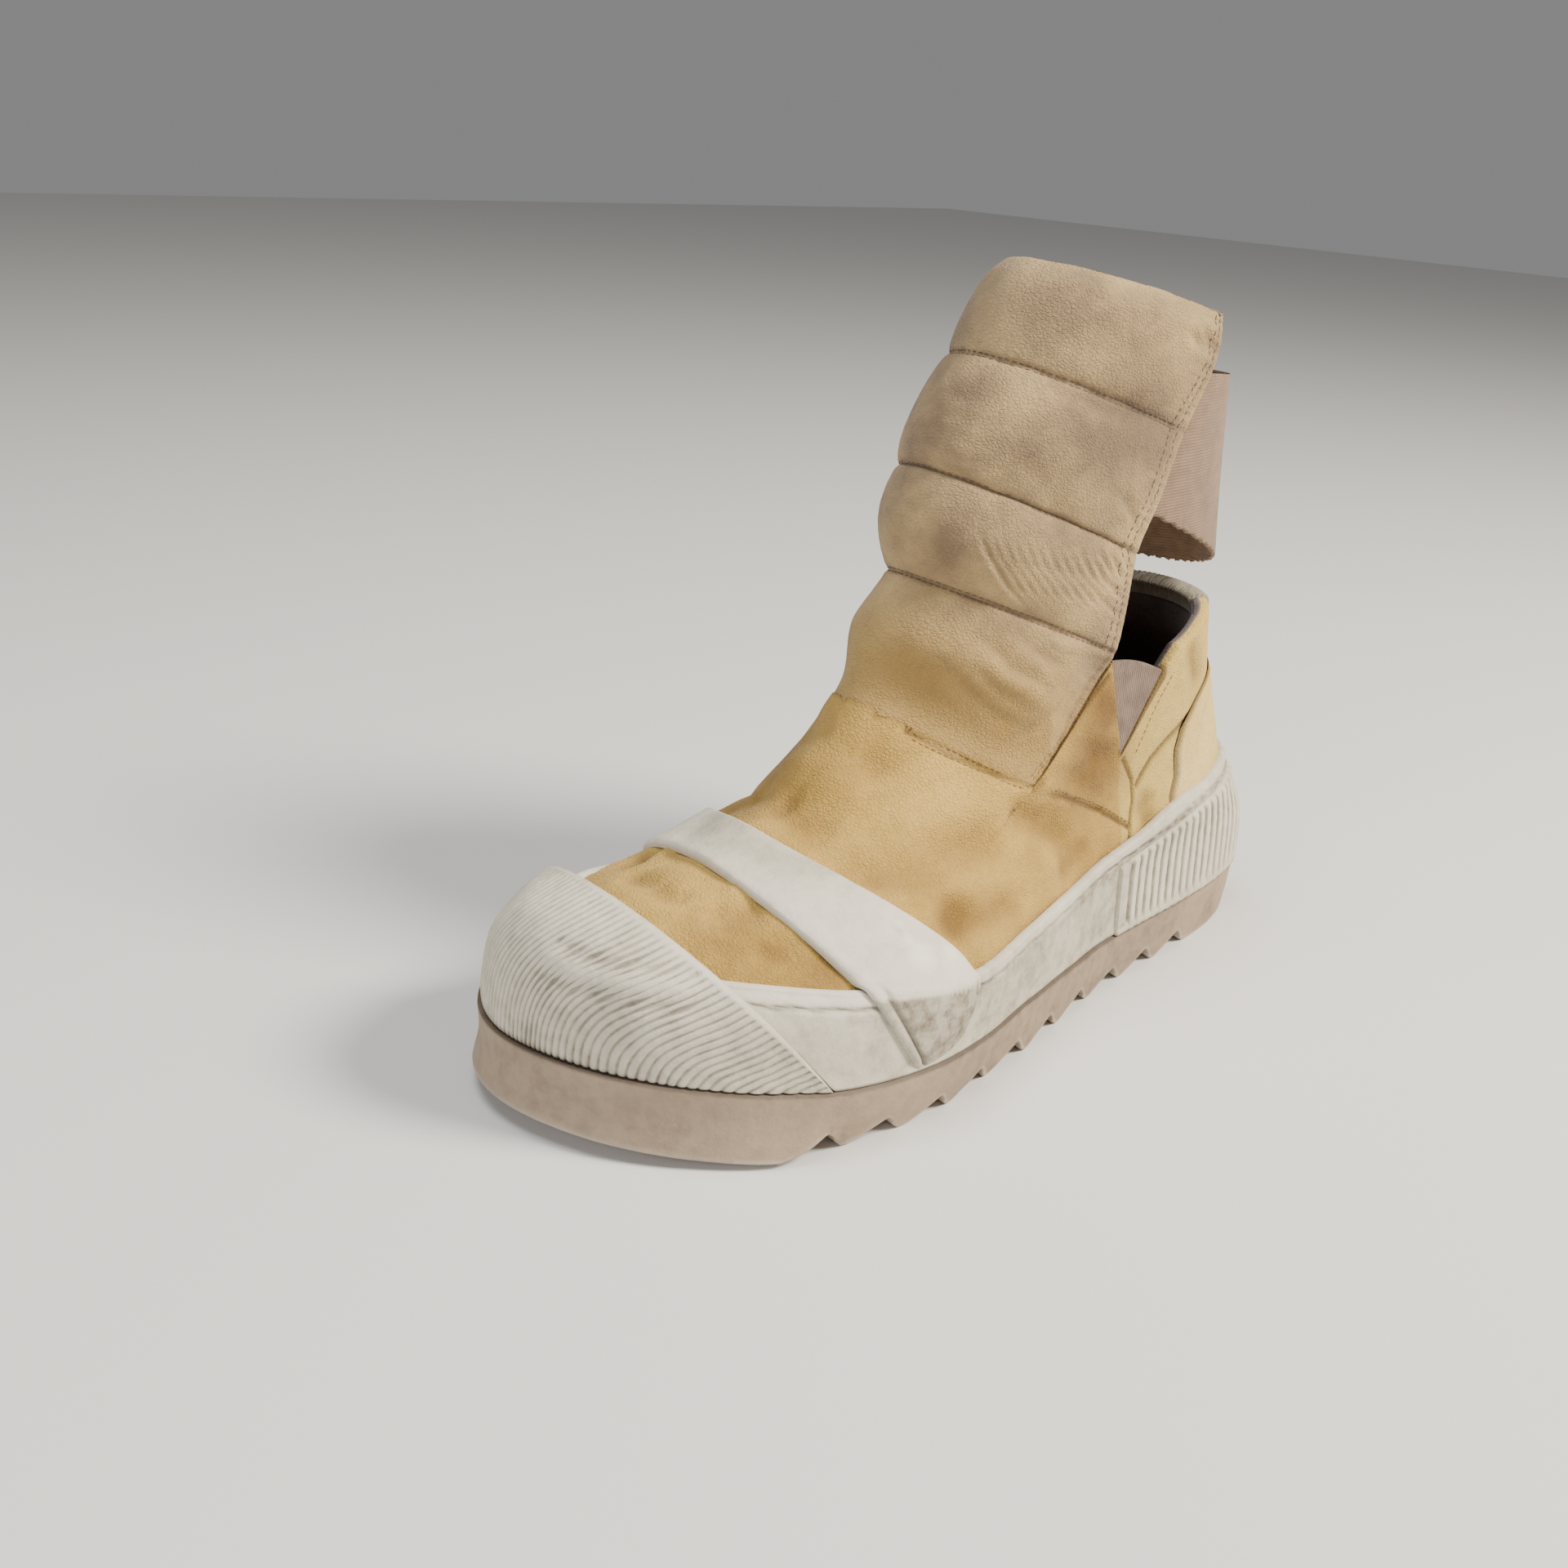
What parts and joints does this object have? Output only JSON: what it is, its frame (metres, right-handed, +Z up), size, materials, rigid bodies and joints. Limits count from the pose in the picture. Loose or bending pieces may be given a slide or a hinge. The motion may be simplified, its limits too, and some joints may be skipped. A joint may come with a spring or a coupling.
{
  "type": "mid-top sneaker",
  "caption": "Left slip-on mid-top sneaker with a toothed outsole, ribbed toe cap, rubber strap, tall padded tongue and an elastic ankle band.",
  "frame": {"origin": "on the floor under the middle of the shoe", "axes": "+X towards the toe, +Y towards the wearer's left, which is the outer side, +Z up"},
  "size_m": [0.3194, 0.131, 0.241],
  "materials": {
    "sole_rubber": "matte",
    "white_rubber": "matte",
    "vamp_leather": "nubuck, worn",
    "quarter_leather": "matte",
    "pad_leather": "soft, matte",
    "elastic": "ribbed",
    "gore_knit": "knitted",
    "lining": "matte"
  },
  "bodies": {
    "root": {"outsole": "sole_rubber", "insole": "lining", "upper": "vamp_leather", "gore_outer": "gore_knit", "gore_inner": "gore_knit", "heel_counter": "quarter_leather", "heel_tape": "gore_knit", "tongue": "pad_leather", "foxing": "white_rubber", "toe_cap": "white_rubber", "strap": "white_rubber", "heel_patch": "white_rubber", "ankle_strap": "elastic", "strap_tab": "quarter_leather"}
  },
  "joints": []
}
